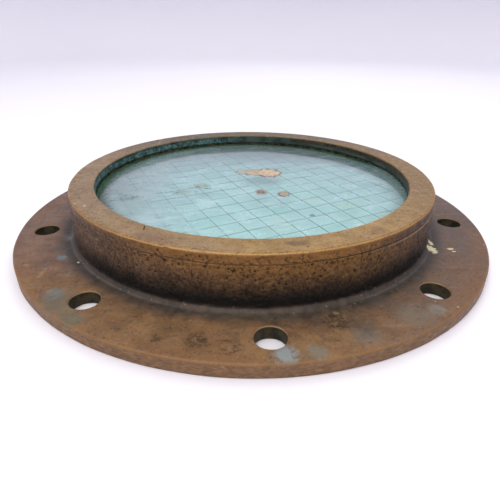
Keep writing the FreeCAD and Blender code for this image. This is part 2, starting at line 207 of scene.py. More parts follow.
class Nodes:
    """Short names for the shader nodes that the materials below are made of."""

    def __init__(self, name):
        self.material = bpy.data.materials.new(name)
        self.material.use_nodes = True
        self.tree = self.material.node_tree
        self.tree.nodes.clear()
        self.point = self.node("ShaderNodeTexCoord").outputs["Object"]
        split = self.node("ShaderNodeSeparateXYZ")
        self.link(self.point, split.inputs[0])
        self.x, self.y, self.z = split.outputs
        flat = self.node("ShaderNodeCombineXYZ")
        self.link(self.x, flat.inputs[0])
        self.link(self.y, flat.inputs[1])
        self.radius = self.vector("LENGTH", flat.outputs[0])
        self.aside = self.math("ABSOLUTE", self.x)

    def node(self, kind):
        return self.tree.nodes.new(kind)

    def link(self, value, socket):
        """Feed a socket from an output, or set it; three numbers for a colour are sRGB, 0 to 255."""
        if isinstance(value, bpy.types.NodeSocket):
            self.tree.links.new(value, socket)
        elif socket.type == "RGBA" and len(value) == 3:
            socket.default_value = (*map(linear, value), 1.0)
        else:
            socket.default_value = value

    def math(self, operation, a, b=0.0, c=0.0):
        n = self.node("ShaderNodeMath")
        n.operation = operation
        for value, socket in zip((a, b, c), n.inputs):
            self.link(value, socket)
        return n.outputs[0]

    def times(self, first, *others):
        """The product of two or more values."""
        for other in others:
            first = self.math("MULTIPLY", first, other)
        return first

    def stray(self, noise, reach, value):
        """A value moved up and down by noise, by up to half the reach each way."""
        return self.math("MULTIPLY_ADD", self.math("SUBTRACT", noise, 0.5), reach, value)

    def vector(self, operation, a, b=(0.0, 0.0, 0.0)):
        n = self.node("ShaderNodeVectorMath")
        n.operation = operation
        self.link(a, n.inputs[0])
        self.link(b, n.inputs[1])
        return n.outputs["Value"] if operation == "LENGTH" else n.outputs[0]

    def fade(self, value, start, end, low=0.0, high=1.0):
        """A smooth step of value from start to end."""
        n = self.node("ShaderNodeMapRange")
        n.interpolation_type = "SMOOTHSTEP"
        for item, socket in zip((value, start, end, low, high), n.inputs):
            self.link(item, socket)
        return n.outputs[0]

    def band(self, value, start, full, fades, gone):
        """1 where value is between full and fades, and 0 below start and above gone."""
        return self.times(self.fade(value, start, full), self.fade(value, gone, fades))

    def tones(self, value, start, end, first, second):
        """A colour that goes from first to second as value goes from start to end."""
        return self.mix(self.fade(value, start, end), first, second)

    def noise(self, size, detail, roughness, seed, stretch=None):
        """Noise with features of about a size in metres, from 0 to 1; seed shifts it."""
        place = self.vector("ADD", self.point, (seed, seed * 0.37, -seed * 0.61))
        if stretch:
            place = self.vector("MULTIPLY", place, stretch)
        n = self.node("ShaderNodeTexNoise")
        self.link(place, n.inputs["Vector"])
        n.inputs["Scale"].default_value = 1.0 / size
        n.inputs["Detail"].default_value = detail
        n.inputs["Roughness"].default_value = roughness
        return n.outputs["Fac"]

    def cells(self, size, seed):
        """Distance to the nearest of many scattered points, in cells of a size in metres."""
        place = self.vector("ADD", self.point, (seed, -seed * 0.53, seed * 0.29))
        n = self.node("ShaderNodeTexVoronoi")
        self.link(place, n.inputs["Vector"])
        n.inputs["Scale"].default_value = 1.0 / size
        return n.outputs["Distance"]

    def mix(self, share, first, second):
        """Two colours mixed."""
        n = self.node("ShaderNodeMix")
        n.data_type = "RGBA"
        self.link(share, n.inputs["Factor"])
        self.link(first, n.inputs["A"])
        self.link(second, n.inputs["B"])
        return n.outputs["Result"]

    def lay(self, colour, coat, mask, strength):
        """The colour with a coat laid over it where the mask is 1, at a strength."""
        return self.mix(self.times(mask, strength), colour, coat)

    def coats(self, colour, coats):
        """The colour with coats over it: each a colour, a value, its start and end, and a strength."""
        for coat, value, start, end, strength in coats:
            colour = self.lay(colour, coat, self.fade(value, start, end), strength)
        return colour

    def pick(self, share, first, second):
        """A number that goes from first to second with the share."""
        return self.math("MULTIPLY_ADD", self.math("SUBTRACT", second, first), share, first)

    def blend(self, share, first, second):
        """Two shaders mixed."""
        n = self.node("ShaderNodeMixShader")
        self.link(share, n.inputs[0])
        self.link(first, n.inputs[1])
        self.link(second, n.inputs[2])
        return n.outputs[0]

    def blot(self, centre, radius, soft, ragged, grain, seed, squeeze=1.0):
        """1 inside a ragged patch round a point, fading to 0 at its edge; squeeze shortens it along Y."""
        off = self.vector("SUBTRACT", self.point, centre)
        off = self.vector("MULTIPLY", off, (1.0, squeeze, 1.0))
        reach = self.vector("LENGTH", off)
        reach = self.stray(self.noise(grain, 5.0, 0.6, seed), 2 * ragged * radius, reach)
        return self.fade(reach, radius * (1 + soft / 2), radius * (1 - soft / 2))

    def bump(self, height):
        """A normal from a relief in millimetres."""
        n = self.node("ShaderNodeBump")
        n.inputs["Distance"].default_value = MM
        self.link(height, n.inputs["Height"])
        return n.outputs["Normal"]

    def principled(self, colour, roughness, metallic, normal=None, specular=0.5):
        n = self.node("ShaderNodeBsdfPrincipled")
        n.inputs["Specular IOR Level"].default_value = specular
        self.link(colour, n.inputs["Base Color"])
        self.link(roughness, n.inputs["Roughness"])
        self.link(metallic, n.inputs["Metallic"])
        if normal is not None:
            self.link(normal, n.inputs["Normal"])
        return n.outputs["BSDF"]

    def finish(self, shader):
        out = self.node("ShaderNodeOutputMaterial")
        self.link(shader, out.inputs["Surface"])
        return self.material


# ------------------------------------------------------------------ bronze
PIT_SPACING = 3.3 * MM


def make_cast_bronze():
    """The flange and neck: brown tarnish, a pitted wall that blackens towards its foot with soot and painted
    shade, painted highlights and shade round the neck, rim and holes, and verdigris.
    """
    n = Nodes("cast_bronze")
    broad = n.noise(0.05, 3.0, 0.5, 3.1)
    cloudy = n.noise(0.014, 5.0, 0.6, 7.7)
    mottle = n.noise(0.0045, 5.0, 0.65, 2.6)
    grain = n.noise(0.0013, 3.0, 0.7, 1.9)
    wiped = n.noise(0.004, 4.0, 0.6, 4.4, (0.12, 1.0, 1.0))

    # flange: plum brown on the left and right, copper brown towards the front
    plum = n.tones(cloudy, 0.3, 0.7, (106, 86, 73), (130, 108, 93))
    plum = n.mix(n.fade(n.x, 0.06, 0.13), plum, (98, 84, 74))
    copper = n.tones(cloudy, 0.32, 0.68, (116, 88, 58), (144, 112, 75))
    copper = n.lay(copper, (100, 82, 68), n.fade(n.x, 0.02, 0.09), 0.75)
    front = n.fade(n.stray(broad, 0.12, n.y), -0.03, -0.10)
    colour = n.mix(front, plum, copper)
    colour = n.coats(colour, [
        ((140, 92, 62), mottle, 0.5, 0.72, 0.5),
        ((84, 70, 66), mottle, 0.48, 0.3, 0.45),
        ((150, 122, 106), wiped, 0.55, 0.72, 0.35),
        ((86, 66, 56), wiped, 0.45, 0.3, 0.35),
    ])
    outer = n.fade(n.radius, 0.138, 0.150)
    colour = n.lay(colour, (130, 94, 60), n.times(outer, n.fade(broad, 0.4, 0.6)), 0.5)
    colour = n.lay(colour, (56, 43, 34), n.fade(grain, 0.55, 0.72), 0.75)
    colour = n.lay(colour, (174, 140, 104), n.fade(grain, 0.42, 0.26), 0.5)

    # grime with painted shade round the foot of the neck, painted shade on the flange there, a thin line low
    # on the fillet that is partly wear and partly painted highlight, and painted glints
    ragged = n.stray(cloudy, 9 * MM, n.radius)
    above = n.fade(n.z, 0.2 * MM, 1.0 * MM)
    # grime, and painted shade in the corner at the foot of the neck
    grime_and_shade = n.times(n.fade(ragged, FILLET_END + 10 * MM, FILLET_END - 1 * MM), above)
    colour = n.lay(colour, n.tones(mottle, 0.35, 0.65, (58, 55, 50), (92, 82, 70)), grime_and_shade, 0.9)
    # a pale line low on the fillet, partly wear and partly a painted highlight where the fillet turns up
    # towards the light
    line = n.band(n.radius, NECK_RADIUS + 1.6 * MM, NECK_RADIUS + 2.5 * MM, NECK_RADIUS + 2.7 * MM,
                  NECK_RADIUS + 3.6 * MM)
    # painted shade on the flange round the foot of the neck, weaker at the front and back
    foot = n.times(n.fade(n.radius, FILLET_END + 6 * MM, FILLET_END), n.fade(n.aside, 0.02, 0.08, 0.25, 1.0))
    colour = n.lay(colour, (50, 47, 42), n.times(foot, above), 0.5)
    worn_and_lit = n.times(n.fade(n.aside, 0.035, 0.055), n.fade(mottle, 0.4, 0.55, 0.5, 1.0))
    colour = n.lay(colour, (116, 110, 98), n.times(line, worn_and_lit, above), 0.3)
    specks = n.fade(n.cells(0.0034, 8.1), 0.15, 0.09)
    glints = n.times(specks, n.fade(ragged, FILLET_END + 4 * MM, FILLET_END), above)
    colour = n.lay(colour, (168, 156, 134), glints, 0.4)

    # the wall, golden brown with a painted highlight at its top, nearly black at its foot from soot and
    # painted shade
    wall, on_wall = cast_wall(n, NECK_RADIUS, cloudy, mottle, grain)
    colour = n.mix(on_wall, colour, wall)

    # verdigris and stains
    stains = [      # degrees round the axis, radius and size in mm, colour, strength
        (227, 145, 9, (96, 104, 92), 0.62),
        (223, 143, 5, (110, 132, 132), 0.5),
        (233, 149, 6, (84, 110, 94), 0.6),
        (208.5, 127.5, 2.6, (112, 138, 142), 0.75),
        (197, 121.5, 4, (124, 128, 122), 0.6),
        (204, 126, 5, (84, 84, 82), 0.6),
        (272, 147, 5, (140, 154, 152), 0.85),
        (277, 147, 4, (116, 128, 118), 0.5),
        (287, 143, 6, (98, 110, 106), 0.45),
        (288, 135, 8, (74, 68, 62), 0.55),
        (280, 131, 5, (70, 62, 56), 0.5),
        (299, 141, 8, (112, 118, 108), 0.4),
        (304, 145, 4, (124, 138, 132), 0.5),
        (297, 128, 7, (80, 76, 72), 0.5),
        (62, 138, 11, (98, 114, 104), 0.5),
        (128, 146, 9, (100, 116, 108), 0.5),
        (158, 134, 7, (84, 84, 80), 0.45),
    ]
    for seed, (turn, reach, size, stain, strength) in enumerate(stains):
        patch = n.blot(around(turn, reach * MM, FLANGE_TOP), size * MM, 1.0, 0.9, 0.006, 2.0 + seed * 0.7)
        colour = n.lay(colour, stain, n.times(patch, n.fade(mottle, 0.36, 0.54, 0.15, 1.0)), strength)
    crumbs = n.times(n.fade(n.cells(0.008, 2.2), 0.075, 0.045), n.fade(broad, 0.5, 0.62))
    colour = n.lay(colour, (196, 190, 172), crumbs, 0.7)
    marks = [       # a point, its size in mm and its colour
        (around(257, 140 * MM, FLANGE_TOP), 5, (64, 52, 40)),
        (around(263, 142 * MM, FLANGE_TOP), 4.5, (64, 52, 42)),
        (around(250, 143 * MM, FLANGE_TOP), 3, (64, 56, 44)),
        (around(284, 130 * MM, FLANGE_TOP), 6, (52, 44, 40)),
        (around(252, 151 * MM, FLANGE_TOP - 3 * MM), 2.4, (60, 62, 56)),
        (around(263.2, FLANGE_RADIUS, FLANGE_TOP - 4 * MM), 2.0, (78, 56, 52)),
        (around(316, 150.5 * MM, FLANGE_TOP - 3 * MM), 1.6, (70, 60, 56)),
        (around(214.5, 121.5 * MM, FLANGE_TOP), 1.4, (62, 46, 46)),
        (around(226, NECK_RADIUS, NECK_TOP - 4 * MM), 2.4, (52, 50, 50)),
    ]
    broken = n.fade(n.noise(0.0022, 5.0, 0.75, 5.9), 0.44, 0.54)
    for seed, (centre, size, mark) in enumerate(marks):
        spot = n.blot(centre, size * MM, 0.8, 1.0, 0.002, 30.0 + seed)
        colour = n.lay(colour, mark, n.times(spot, broken), 0.7)

    # dried cream paint
    flakes = [      # degrees round the axis, radius and size in mm, how much it is squeezed along Y
        (329.7, 121.2, 2.8, 0.62),
        (333.5, 119.8, 1.6, 0.6),
        (332.3, 131.5, 1.7, 1.5),
        (331.2, 133.4, 1.3, 1.8),
        (213.6, 121.5, 0.7, 1.0),
    ]
    for turn, reach, size, squeeze in flakes:
        fleck = n.blot(around(turn, reach * MM, FLANGE_TOP), size * MM, 0.3, 1.3, 0.0016, turn, squeeze)
        colour = n.lay(colour, (214, 206, 164), fleck, 0.95)

    # the flange's rim with a painted highlight along its front edge and streaks down its side, and the holes
    # with painted shade in their bores and a painted highlight round their mouths
    # painted highlight along the front of the rim's upper edge
    edge = n.times(n.fade(n.radius, FLANGE_RADIUS - 1.3 * MM, FLANGE_RADIUS - 0.6 * MM),
                  n.fade(n.z, FLANGE_TOP - 1.2 * MM, FLANGE_TOP - 0.5 * MM))
    colour = n.lay(colour, (150, 112, 70), n.times(edge, n.fade(n.y, 0.0, -0.07)), 0.5)
    side = n.times(n.fade(n.radius, FLANGE_RADIUS - 0.4 * MM, FLANGE_RADIUS - 0.1 * MM),
                  n.fade(n.z, FLANGE_TOP - 0.9 * MM, FLANGE_TOP - 1.4 * MM))
    streaks = n.noise(0.003, 4.0, 0.6, 6.2, (1.0, 1.0, 3.0))
    colour = n.lay(colour, n.tones(streaks, 0.3, 0.7, (98, 76, 56), (148, 114, 80)), side, 0.8)
    between = n.band(n.radius, FILLET_END, FILLET_END + 1 * MM,
                     FLANGE_RADIUS - 5 * MM, FLANGE_RADIUS - 4 * MM)
    inside = n.band(n.z, 0.1 * MM, 0.5 * MM, FLANGE_TOP - 0.9 * MM, FLANGE_TOP - 0.5 * MM)
    # painted shade, dark olive, down the bores of the holes
    bore = n.tones(mottle, 0.35, 0.65, (26, 26, 20), (70, 64, 44))
    colour = n.lay(colour, bore, n.times(between, inside), 0.95)
    # painted highlight round the mouth of each hole
    lip = n.band(n.z, FLANGE_TOP - 0.9 * MM, FLANGE_TOP - 0.6 * MM,
                 FLANGE_TOP - 0.25 * MM, FLANGE_TOP - 0.1 * MM)
    colour = n.lay(colour, (160, 130, 86), n.times(between, lip), 0.7)

    fine = n.times(grain, 0.12)
    dents = n.times(n.fade(n.cells(0.0052, 4.1), 0.1, 0.3), 0.10)
    flat = n.math("ADD", n.math("MULTIPLY_ADD", mottle, 0.12, fine), dents)
    relief = n.pick(on_wall, flat, wall_relief(n, mottle, grain))
    roughness = n.fade(mottle, 0.3, 0.7, 0.46, 0.66)
    return n.finish(n.principled(colour, roughness, 0.3, n.bump(relief), 0.25))


def cast_wall(n, radius, cloudy, mottle, grain):
    """Colour of the sand-cast wall and of the ring's side above it, with painted highlights and painted
    shade, and where that wall is.
    """
    on_wall = n.band(n.radius, radius - 1.6 * MM, radius - 1.2 * MM, radius + 0.9 * MM, radius + 1.5 * MM)
    on_wall = n.times(on_wall, n.fade(n.z, FLANGE_TOP + 1.4 * MM, FLANGE_TOP + 3.4 * MM))
    climb = n.stray(cloudy, 9 * MM, n.z)
    brown = n.tones(cloudy, 0.3, 0.7, (90, 68, 43), (112, 84, 50))
    plum = n.tones(cloudy, 0.3, 0.7, (88, 70, 55), (108, 86, 68))
    wall = n.mix(n.fade(n.x, 0.02, -0.09), brown, plum)
    # painted shade on the right side of the wall
    wall = n.lay(wall, (74, 60, 54), n.fade(n.x, 0.03, 0.10), 0.7)
    # painted highlight near the top of the wall at the front and back
    golden = n.times(n.fade(n.z, NECK_TOP - 10 * MM, NECK_TOP + 2 * MM), n.fade(n.aside, 0.09, 0.03))
    wall = n.lay(wall, (152, 108, 54), golden, 0.7)
    wall = n.lay(wall, (150, 110, 62), n.fade(grain, 0.44, 0.28), 0.6)
    wall = n.lay(wall, (52, 38, 28), n.fade(grain, 0.54, 0.7), 0.7)
    fleck = n.noise(0.0017, 4.0, 0.75, 3.7)
    wall = n.lay(wall, (36, 26, 18), n.fade(fleck, 0.53, 0.61), 0.6)
    wall = n.lay(wall, (156, 116, 66), n.fade(fleck, 0.46, 0.38), 0.55)
    # soot and painted shade darkening the lower wall, strongest at the front and back
    sooty_and_shaded = n.fade(n.aside, 0.110, 0.080, 0.3, 1.0)
    soot_and_shade = n.tones(fleck, 0.45, 0.55, (52, 46, 36), (30, 27, 22))
    for top, foot, coat, strength in ((17, 7, soot_and_shade, 0.95), (9, 4, (22, 22, 19), 0.85)):
        low = n.fade(climb, FLANGE_TOP + top * MM, FLANGE_TOP + foot * MM)
        wall = n.lay(wall, coat, n.times(low, sooty_and_shaded), strength)
    wall = n.lay(wall, (44, 33, 25), n.fade(mottle, 0.60, 0.74), 0.2)
    wall = n.lay(wall, (22, 16, 12), n.fade(n.cells(PIT_SPACING, 5.3), 0.23, 0.13), 0.78)
    seam = n.band(n.z, NECK_TOP - 3.2 * MM, NECK_TOP - 1.6 * MM, RING_SEAT + 0.2 * MM, RING_SEAT + 1.2 * MM)
    pocks = n.fade(n.noise(0.0028, 4.0, 0.7, 8.3, (1.0, 1.0, 1.6)), 0.54, 0.62)
    wall = n.lay(wall, (24, 17, 13), n.times(seam, pocks, n.fade(n.y, -0.05, -0.09)), 0.9)
    right = n.fade(n.x, 0.04, 0.085)
    # painted highlight along the arris under the seam on the right
    arris_highlight = n.band(n.z, NECK_TOP - 1.2 * MM, NECK_TOP - 0.7 * MM, NECK_TOP - 0.1 * MM, NECK_TOP + 0.2 * MM)
    wall = n.lay(wall, (150, 126, 98), n.times(arris_highlight, right), 0.75)
    shaded = n.times(n.fade(n.z, NECK_TOP + 0.2 * MM, RING_SEAT), right)
    wall = n.lay(wall, (74, 58, 50), shaded, 0.7)
    return wall, on_wall


def wall_relief(n, mottle, grain):
    """Depth in millimetres of the sand-cast skin's pits."""
    pits = n.times(n.fade(n.cells(PIT_SPACING, 5.3), 0.12, 0.28), 0.4)
    coarse = n.times(n.fade(mottle, 0.7, 0.5), 0.35)
    return n.math("ADD", n.math("ADD", pits, coarse), n.times(grain, 0.45))


def make_ring_bronze():
    """The glass ring: worn tan face, golden outer edge with a painted highlight on its front, sand-cast
    side, and a black lip with teal crust and painted shade at its foot.
    """
    n = Nodes("ring_bronze")
    broad = n.noise(0.05, 3.0, 0.5, 2.3)
    cloudy = n.noise(0.012, 5.0, 0.6, 4.9)
    mottle = n.noise(0.0045, 5.0, 0.65, 2.6)
    grain = n.noise(0.0012, 3.0, 0.72, 6.1)
    tan = n.tones(cloudy, 0.3, 0.7, (140, 113, 66), (166, 136, 82))
    tan = n.lay(tan, (126, 102, 66), n.fade(n.x, 0.05, 0.11), 0.8)
    pink = n.tones(cloudy, 0.3, 0.7, (134, 112, 84), (158, 137, 106))
    face = n.mix(n.fade(n.stray(broad, 0.16, n.x), 0.0, -0.07), tan, pink)
    face = n.coats(face, [
        ((92, 88, 72), n.y, 0.03, 0.10, 0.8),
        ((176, 146, 106), mottle, 0.46, 0.3, 0.4),
        ((112, 84, 58), mottle, 0.54, 0.7, 0.45),
        ((88, 64, 42), grain, 0.54, 0.7, 0.75),
        ((196, 166, 120), grain, 0.42, 0.27, 0.5),
        ((66, 48, 36), n.cells(0.0042, 3.3), 0.17, 0.1, 0.7),
    ])
    scratches = n.fade(n.noise(0.006, 3.0, 0.5, 7.3, (1.0, 0.06, 1.0)), 0.64, 0.7)
    face = n.lay(face, (186, 166, 144), n.times(scratches, n.fade(n.x, -0.04, -0.08)), 0.4)
    smears = [      # degrees round the axis, radius and size in mm, colour, strength, squeeze along Y
        (277.5, 108.5, 5, (84, 60, 52), 0.6, 1.6),
        (240, 112, 7, (118, 96, 84), 0.4, 1.0),
        (300, 113, 6, (112, 84, 60), 0.45, 1.0),
        (24, 108, 8, (108, 92, 74), 0.4, 1.0),
        (110, 108, 9, (96, 96, 82), 0.4, 1.0),
    ]
    for seed, (turn, reach, size, smear, strength, squeeze) in enumerate(smears):
        patch = n.blot(around(turn, reach * MM, RING_TOP), size * MM, 1.0, 0.8, 0.006, 12.0 + seed, squeeze)
        face = n.lay(face, smear, patch, strength)
    for turn, reach in ((208.6, 115.4), (211.7, 111.4)):
        speck = n.blot(around(turn, reach * MM, RING_TOP), 0.8 * MM, 0.5, 0.6, 0.001, turn)
        face = n.lay(face, (214, 204, 176), speck, 0.9)
    # painted highlight, golden, on the front of the ring's outer edge
    gold = n.fade(n.stray(mottle, 6 * MM, n.radius),
                  RING_RADIUS - 4.5 * MM, RING_RADIUS - 0.2 * MM)
    colour = n.lay(face, n.tones(grain, 0.4, 0.6, (168, 130, 78), (122, 90, 52)),
                   n.times(gold, n.fade(n.y, 0.02, -0.03)), 0.6)

    # painted highlight along the front of the ring's outer arris
    arris_highlight = n.times(n.fade(n.radius, RING_RADIUS - 0.9 * MM, RING_RADIUS - 0.4 * MM),
                   n.fade(n.z, RING_TOP - 0.9 * MM, RING_TOP - 0.5 * MM))
    front_highlight = n.times(n.fade(n.y, 0.0, -0.06), n.fade(mottle, 0.36, 0.52, 0.3, 1.0))
    front_highlight = n.times(front_highlight, n.fade(n.aside, 0.10, 0.05, 0.4, 1.0))

    # the side, as cast as the wall below it, and brown thread under it
    wall, on_wall = cast_wall(n, RING_RADIUS, cloudy, mottle, grain)
    wall = n.lay(wall, (140, 98, 52), n.fade(n.z, RING_TOP - 3.2 * MM, RING_TOP - 1.2 * MM), 0.6)
    below_edge = n.fade(n.z, RING_TOP - 0.5 * MM, RING_TOP - 1.5 * MM)
    on_side = n.times(on_wall, below_edge)
    colour = n.mix(on_side, colour, wall)
    colour = n.lay(colour, (204, 158, 92), n.times(arris_highlight, front_highlight), 0.7)
    threads = n.tones(cloudy, 0.3, 0.7, (84, 60, 34), (140, 106, 60))
    skirt = n.times(n.fade(n.z, RING_SEAT + 0.2 * MM, RING_SEAT - 0.3 * MM),
                   n.fade(n.radius, CLEAR_RADIUS + 0.8 * MM, CLEAR_RADIUS + 1.4 * MM))
    colour = n.mix(skirt, colour, threads)

    # lip: blackened, dark green behind, brown on the right, with a teal crust low on the left and painted
    # shade in the crevice at its foot
    lip = n.times(n.fade(n.radius, CLEAR_RADIUS + 0.9 * MM, CLEAR_RADIUS + 0.4 * MM),
                 n.fade(n.z, RING_TOP - 0.6 * MM, RING_TOP - 1.1 * MM))
    dark = n.tones(cloudy, 0.35, 0.65, (44, 56, 50), (76, 94, 84))
    brown = n.tones(mottle, 0.35, 0.65, (46, 38, 30), (84, 70, 54))
    bared = n.times(n.fade(n.x, 0.02, 0.06), n.fade(n.z, RING_TOP - 4.6 * MM, RING_TOP - 3 * MM))
    dark = n.mix(bared, dark, brown)
    low = n.fade(n.stray(mottle, 4 * MM, n.z), RING_TOP - 1.6 * MM, RING_TOP - 3.4 * MM)
    crusted = n.times(n.fade(n.x, 0.01, -0.04), low)
    teal = n.tones(grain, 0.4, 0.62, (124, 170, 162), (34, 82, 78))
    dark = n.lay(dark, teal, n.times(crusted, n.fade(mottle, 0.62, 0.42)), 0.9)
    dark = n.lay(dark, (44, 92, 78), n.fade(n.noise(0.003, 5.0, 0.7, 9.0), 0.54, 0.66), 0.6)
    # painted shade in the crevice between the lip and the putty
    foot = n.fade(n.z, LIP_FOOT + 0.9 * MM, LIP_FOOT + 0.3 * MM)
    dark = n.lay(dark, (16, 16, 14), foot, 0.9)
    colour = n.mix(lip, colour, dark)

    flat = n.math("MULTIPLY_ADD", grain, 0.14, n.times(mottle, 0.1))
    flat = n.math("ADD", flat, n.times(n.fade(n.cells(0.0042, 3.3), 0.08, 0.2), 0.16))
    crust = n.math("MULTIPLY_ADD", mottle, 0.7, n.times(grain, 0.4))
    relief = n.pick(on_side, n.pick(n.times(lip, n.fade(n.x, 0.02, -0.03)), flat, crust),
                    wall_relief(n, mottle, grain))
    return n.finish(n.principled(colour, n.fade(mottle, 0.3, 0.7, 0.4, 0.6), 0.35, n.bump(relief), 0.25))


def make_inner_bronze(name, light, dark):
    """Turned metal that has dulled: fine rings from the lathe, brown film, a little green."""
    n = Nodes(name)
    cloudy = n.noise(0.008, 5.0, 0.6, 3.6)
    colour = n.tones(cloudy, 0.3, 0.7, dark, light)
    colour = n.lay(colour, (84, 122, 112), n.fade(n.noise(0.003, 4.0, 0.7, 6.6), 0.6, 0.7), 0.7)
    grooves = n.math("SINE", n.times(n.radius, TURN / (0.45 * MM)))
    relief = n.math("MULTIPLY_ADD", grooves, 0.02, n.times(n.noise(0.001, 3.0, 0.6, 2.0), 0.06))
    return n.finish(n.principled(colour, n.fade(cloudy, 0.3, 0.7, 0.34, 0.55), 0.7, n.bump(relief)))


def make_soft(name, light, dark, roughness, size):
    """Rubber, putty or packing: a mottled matt surface."""
    n = Nodes(name)
    mottle = n.noise(size, 5.0, 0.65, 4.0)
    colour = n.tones(mottle, 0.35, 0.65, dark, light)
    return n.finish(n.principled(colour, roughness, 0.0, n.bump(n.times(mottle, 0.3))))


def make_washer():
    """The joint washer's edge: dark on the right, tarnished over to the wall's brown elsewhere."""
    n = Nodes("washer")
    mottle = n.noise(0.003, 5.0, 0.65, 4.0)
    colour = n.tones(mottle, 0.35, 0.65, (18, 14, 12), (40, 32, 26))
    colour = n.lay(colour, (92, 68, 44), n.fade(n.x, 0.05, 0.01), 0.9)
    return n.finish(n.principled(colour, 0.8, 0.0, n.bump(n.times(mottle, 0.3))))


def make_wire():
    """Dull drawn wire with a few rusty stretches, and the lower layer paler."""
    n = Nodes("wire")
    rust = n.fade(n.noise(0.006, 4.0, 0.6, 1.0), 0.5, 0.66)
    colour = n.mix(rust, (86, 114, 112), (104, 110, 92))
    lower_layer = n.fade(n.z, NETTING_MIDDLE + 0.1 * MM, NETTING_MIDDLE - 0.1 * MM)
    colour = n.lay(colour, (150, 186, 184), lower_layer, 0.8)
    return n.finish(n.principled(colour, n.fade(rust, 0.0, 1.0, 0.4, 0.7), 0.4))


# ------------------------------------------------------------------ glass
def make_glass():
    """Old wired glass: pale blue-green, rough-cast below, with a wiped film, stains and grime on top,
    painted shade towards its back edge, and a painted highlight.
    """
    n = Nodes("pane")
    cloudy = n.noise(0.025, 5.0, 0.6, 2.9)
    wiped = n.noise(0.007, 4.0, 0.6, 6.4, (0.4, 1.0, 1.0))
    fine = n.noise(0.003, 5.0, 0.65, 3.4)
    tint = n.tones(cloudy, 0.35, 0.65, (228, 247, 243), (234, 250, 246))
    clear = n.node("ShaderNodeBsdfTransparent")
    n.link(tint, clear.inputs["Color"])
    ripples = n.math("MULTIPLY_ADD", n.noise(0.012, 3.0, 0.5, 8.8), 0.1, n.times(fine, 0.012))
    normal = n.bump(ripples)
    gloss = n.node("ShaderNodeBsdfGlossy")
    gloss.inputs["Roughness"].default_value = 0.06
    n.link(normal, gloss.inputs["Normal"])

    # mirror share of both faces of the pane together, after Schlick's rule
    facing = n.node("ShaderNodeLayerWeight")
    facing.inputs["Blend"].default_value = 0.5
    n.link(normal, facing.inputs["Normal"])
    share = n.math("MULTIPLY_ADD", n.math("POWER", facing.outputs["Facing"], 5.0), 1.8, 0.06)
    share = n.math("MINIMUM", share, 0.95)
    pane = n.blend(share, clear.outputs[0], gloss.outputs[0])

    # the film, the stains, a painted highlight and the grime with painted shade lie on the upper face
    on_top = n.fade(n.z, GLASS_TOP - 0.3 * MM, GLASS_TOP - 0.15 * MM)
    swirls = n.noise(0.014, 6.0, 0.62, 3.1, (0.75, 1.0, 1.0))
    haze = n.fade(wiped, 0.35, 0.72, 0.20, 0.32)
    haze = n.math("ADD", haze, n.fade(swirls, 0.42, 0.64, 0.0, 0.12))
    haze = n.math("ADD", haze, n.fade(n.x, -0.01, -0.08, 0.0, 0.22))
    film = n.tones(fine, 0.35, 0.65, (174, 214, 213), (196, 230, 228))
    film = n.lay(film, (208, 230, 232), n.fade(swirls, 0.5, 0.68), 0.6)
    film = n.lay(film, (142, 160, 156), n.fade(n.x, -0.03, -0.09), 0.75)
    # painted shade on the film towards the back
    film = n.lay(film, (150, 168, 164), n.fade(n.y, 0.02, 0.08), 0.7)
    stains = [      # x, y and size in mm, colour, strength, softness of the edge, squeeze along Y
        (-7, 21.5, 4.6, (118, 104, 68), 0.75, 0.5, 1.0),
        (4, 19.5, 8.6, (104, 80, 48), 0.9, 0.15, 1.1),
        (14, 18, 9.2, (106, 78, 46), 0.95, 0.12, 0.9),
        (-5, 21.8, 3.4, (196, 170, 124), 0.8, 0.4, 1.0),
        (4, 19.8, 6.9, (200, 172, 124), 0.9, 0.2, 1.1),
        (14, 18.3, 7.3, (212, 180, 132), 0.95, 0.15, 0.9),
        (5, -20.9, 4.4, (146, 112, 72), 0.9, 0.35, 0.8),
        (5, -20.9, 2.4, (84, 58, 34), 0.98, 0.4, 0.8),
        (19.2, -25.1, 4.2, (104, 76, 44), 0.95, 0.3, 0.8),
        (19.2, -25.1, 2.6, (182, 150, 104), 0.9, 0.4, 0.8),
        (12, -23, 2.0, (176, 160, 128), 0.5, 0.8, 2.5),
        (-34, -8, 5, (124, 134, 102), 0.8, 0.8, 0.8),
        (-46, -20, 7, (120, 140, 120), 0.6, 1.0, 1.6),
        (-78, -28, 7, (100, 118, 102), 0.75, 1.0, 1.6),
        (55, -46, 8, (178, 194, 118), 0.5, 1.2, 1.4),
        (36, -36, 6, (184, 204, 138), 0.45, 1.2, 1.4),
        (12, -70, 9, (190, 204, 176), 0.25, 1.2, 0.8),
        (31, -59.6, 1.7, (64, 70, 62), 0.95, 0.4, 1.0),
        (78, -14, 1.3, (70, 76, 66), 0.8, 0.6, 1.6),
        # painted highlight, a pale patch of reflected light at the front left
        (-62, -62, 9, (214, 234, 236), 0.5, 1.2, 2.0),
        (40, -40, 6, (206, 234, 238), 0.35, 1.2, 2.4),
    ]
    for seed, (x, y, size, stain, strength, soft, squeeze) in enumerate(stains):
        patch = n.blot((x * MM, y * MM, GLASS_TOP), size * MM, soft, 0.55, 0.005, 20.0 + seed, squeeze)
        patch = n.times(patch, strength)
        patch = n.times(patch, n.fade(fine, 0.58, 0.48, 0.6, 1.0))
        film = n.mix(patch, film, stain)
        haze = n.math("MAXIMUM", haze, patch)
    near = n.math("MAXIMUM", n.blot((-41 * MM, -15 * MM, GLASS_TOP), 15 * MM, 0.6, 0.8, 0.006, 44.0, 1.6),
                  n.blot((-80 * MM, -27 * MM, GLASS_TOP), 10 * MM, 0.6, 0.8, 0.006, 45.0, 1.4))
    specks = n.times(n.fade(n.noise(0.0032, 4.0, 0.75, 9.2), 0.54, 0.62), near)
    film = n.mix(specks, film, (82, 98, 72))
    haze = n.math("MAXIMUM", haze, n.times(specks, 0.95))
